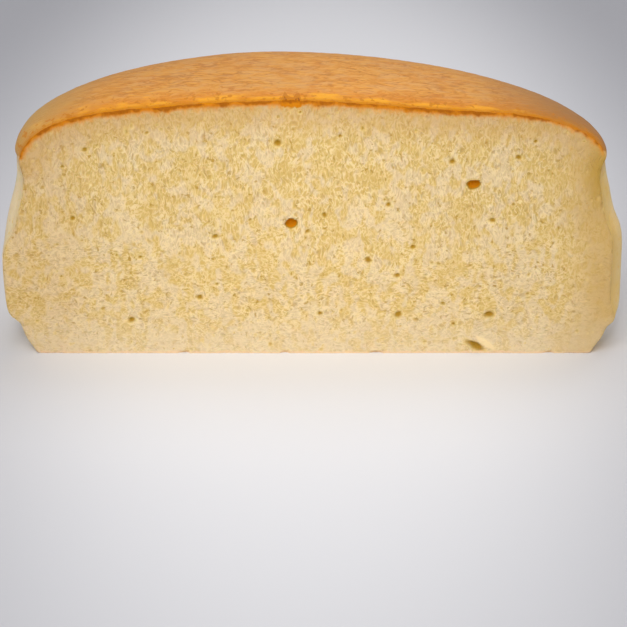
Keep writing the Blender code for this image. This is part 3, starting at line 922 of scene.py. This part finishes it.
class CHEESECAKE_OT_bake(bpy.types.Operator):
    """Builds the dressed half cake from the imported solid"""

    bl_idname = "cheesecake.bake"
    bl_label = "Bake the half"

    def execute(self, context):
        crumb = context.scene.cheesecake_crumb
        skin = context.scene.cheesecake_skin
        lip = lip_heights(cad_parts[SOLID])
        body = smooth_body()
        divide_skin(body, skin)
        wrinkle_skin(body, lip, skin)

        def on_crust(face):
            """Is this the upper side of the crust?"""
            border = lip_beside(face, lip) + lip_at_cut(face.center.x)
            return face.normal.z > -0.3 and face.normal.y > -0.9 and face.center.z > border

        def on_side(face):
            """Is this the side's skin, under the lip?"""
            below = face.center.z < lip_beside(face, lip)
            return face.normal.y > -0.3 and face.normal.z > -0.9 and below

        trees = {"under_crust": tree_of(body, on_crust), "from_side": tree_of(body, on_side)}
        whole = tree_of(body, lambda face: abs(face.normal.y) < 0.9)
        body.data.materials.append(skin_material(skin))
        block, face = knife_block(whole, crumb)
        block.data.materials.append(crumb_material(crumb, skin))
        modify(
            body,
            "BOOLEAN",
            operation="INTERSECT",
            solver="MANIFOLD",
            object=block,
            material_mode="TRANSFER",
        )
        bpy.data.objects.remove(block)
        body.vertex_groups.clear()
        body.data.materials.append(base_material(skin))
        for polygon in body.data.polygons:
            if polygon.normal.z < -0.95 and polygon.center.z < 0.0004:
                polygon.material_index = 2
        measure(body, face, trees, lip)
        alone(body)
        bpy.ops.object.shade_smooth_by_angle(angle=math.radians(50))
        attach(body, "root")
        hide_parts(SOLID)
        return {"FINISHED"}


class CHEESECAKE_OT_stage(bpy.types.Operator):
    """Adds the floor with its backdrop, the soft lights and the camera"""

    bl_idname = "cheesecake.stage"
    bl_label = "Set the stage"

    def execute(self, context):
        settings = context.scene.cheesecake_stage
        floor = pale_sweep(settings)
        soft_light(settings)
        aim_camera(context, settings)
        return {"FINISHED"}


def pale_sweep(settings):
    """A pale floor that curves up into a backdrop.

    It is matt studio paper with no gloss, and its colour is a painted pool of light: palest in an
    oval round the cake, with painted shade further off.
    """
    size = 4
    height = 2
    curve = 0.35
    bpy.ops.object.select_all(action="DESELECT")
    bpy.ops.mesh.primitive_plane_add(size=size, location=(0, -0.9, 0))
    floor = bpy.context.object
    floor.name = "studio_sweep"
    bpy.ops.object.mode_set(mode="EDIT")
    bpy.ops.mesh.select_all(action="DESELECT")
    bpy.ops.mesh.select_mode(type="EDGE")
    bpy.ops.object.mode_set(mode="OBJECT")
    for edge in floor.data.edges:
        edge.select = all(floor.data.vertices[i].co.y > 0.45 * size for i in edge.vertices)
    bpy.ops.object.mode_set(mode="EDIT")
    bpy.ops.mesh.extrude_edges_move(TRANSFORM_OT_translate={"value": (0, 0, height)})
    bpy.ops.object.mode_set(mode="OBJECT")
    bpy.ops.object.transform_apply(location=True, rotation=True, scale=True)
    modify(floor, "BEVEL", width=curve, segments=16, limit_method="ANGLE")
    bpy.ops.object.shade_smooth()
    material, tree, shader, mm = new_material("matt_paper_sweep")
    # Painted pool of light: the floor's colour darkens away from an oval round the cake
    feeds = {"Vector": mm, "Location": (0, -0.20, 0), "Scale": (1 / 95, 1 / 400, 0)}
    oval = add(tree, "ShaderNodeMapping", "oval", feeds)
    away = add(tree, "ShaderNodeVectorMath", "away", {0: oval}, "Value", operation="LENGTH")
    colour = layer(tree, "far floor", settings.floor, settings.shaded_far_floor, away, 0.45, 1.3)
    tree.links.new(colour, shader.inputs["Base Color"])
    shader.inputs["Roughness"].default_value = 0.9
    floor.data.materials.append(material)
    return floor


def soft_light(settings):
    """A pale room with soft light from windows in front, behind and at the right.

    A narrow light from the front brightens the middle of the cut.
    """
    window = 0.6
    middle = Vector((0, 0, 0.02))
    world = bpy.data.worlds.new("pale_room")
    bpy.context.scene.world = world
    world.use_nodes = True
    background = world.node_tree.nodes["Background"]
    background.inputs["Color"].default_value = (1.0, 0.99, 0.98, 1.0)
    background.inputs["Strength"].default_value = settings.fill
    lights = (
        ("AREA", "key_window", (-0.20, -0.77, 0.75), settings.key),
        ("SPOT", "pool_light", (-0.05, -0.78, 0.50), settings.pool),
        ("AREA", "back_window", (0.15, 0.50, 0.95), settings.back),
        ("AREA", "side_window", (0.80, -0.25, 0.12), settings.side),
    )
    for kind, name, place, power in lights:
        bpy.ops.object.light_add(type=kind, location=place)
        light = bpy.context.object
        light.name = name
        light.data.energy = power
        light.rotation_euler = (middle - light.location).to_track_quat("-Z", "Y").to_euler()
        if kind == "AREA":
            light.data.shape = "SQUARE"
            light.data.size = window
        else:
            light.data.spot_size = math.radians(13.0)
            light.data.spot_blend = 1
            light.data.shadow_soft_size = 0.08


def aim_camera(context, settings):
    """A long lens that looks a little down on the cut face and fills the picture with it."""
    aim = Vector((0, CUT_Y, 0.010))
    back = Vector((0, -math.cos(settings.pitch), math.sin(settings.pitch)))
    bpy.ops.object.camera_add(location=aim + back * settings.distance)
    camera = context.object
    camera.name = "camera"
    camera.rotation_euler = (-back).to_track_quat("-Z", "Y").to_euler()
    camera.data.sensor_width = SENSOR
    camera.data.lens = SENSOR * PIXELS_PER_METRE * settings.distance / PICTURE_ACROSS
    camera.data.clip_start = 0.01
    camera.data.clip_end = 20
    context.scene.camera = camera


class CHEESECAKE_PT_panel(bpy.types.Panel):
    """Lists the cake's settings and its two steps"""

    bl_idname = "CHEESECAKE_PT_panel"
    bl_label = "Cut cheesecake"
    bl_space_type = "VIEW_3D"
    bl_region_type = "UI"
    bl_category = "Cheesecake"

    def draw(self, context):
        for group_name in ("cheesecake_crumb", "cheesecake_skin", "cheesecake_stage"):
            settings = getattr(context.scene, group_name)
            box = self.layout.box()
            for name in settings.__annotations__:
                box.prop(settings, name)
        self.layout.operator(CHEESECAKE_OT_bake.bl_idname)
        self.layout.operator(CHEESECAKE_OT_stage.bl_idname)


CLASSES = (
    CrumbSettings,
    SkinSettings,
    StageSettings,
    CHEESECAKE_OT_bake,
    CHEESECAKE_OT_stage,
    CHEESECAKE_PT_panel,
)


def register():
    """Makes the settings, the steps and the panel known to Blender."""
    for cls in CLASSES:
        bpy.utils.register_class(cls)
    bpy.types.Scene.cheesecake_crumb = bpy.props.PointerProperty(type=CrumbSettings)
    bpy.types.Scene.cheesecake_skin = bpy.props.PointerProperty(type=SkinSettings)
    bpy.types.Scene.cheesecake_stage = bpy.props.PointerProperty(type=StageSettings)


def unregister():
    """Takes them out again, the last one first."""
    del bpy.types.Scene.cheesecake_stage
    del bpy.types.Scene.cheesecake_skin
    del bpy.types.Scene.cheesecake_crumb
    for cls in reversed(CLASSES):
        bpy.utils.unregister_class(cls)


def main():
    """Builds the scene."""
    register()
    bpy.ops.cheesecake.bake()
    bpy.ops.cheesecake.stage()
    bpy.context.scene.view_settings.view_transform = "Standard"


if __name__ == "__main__":
    main()
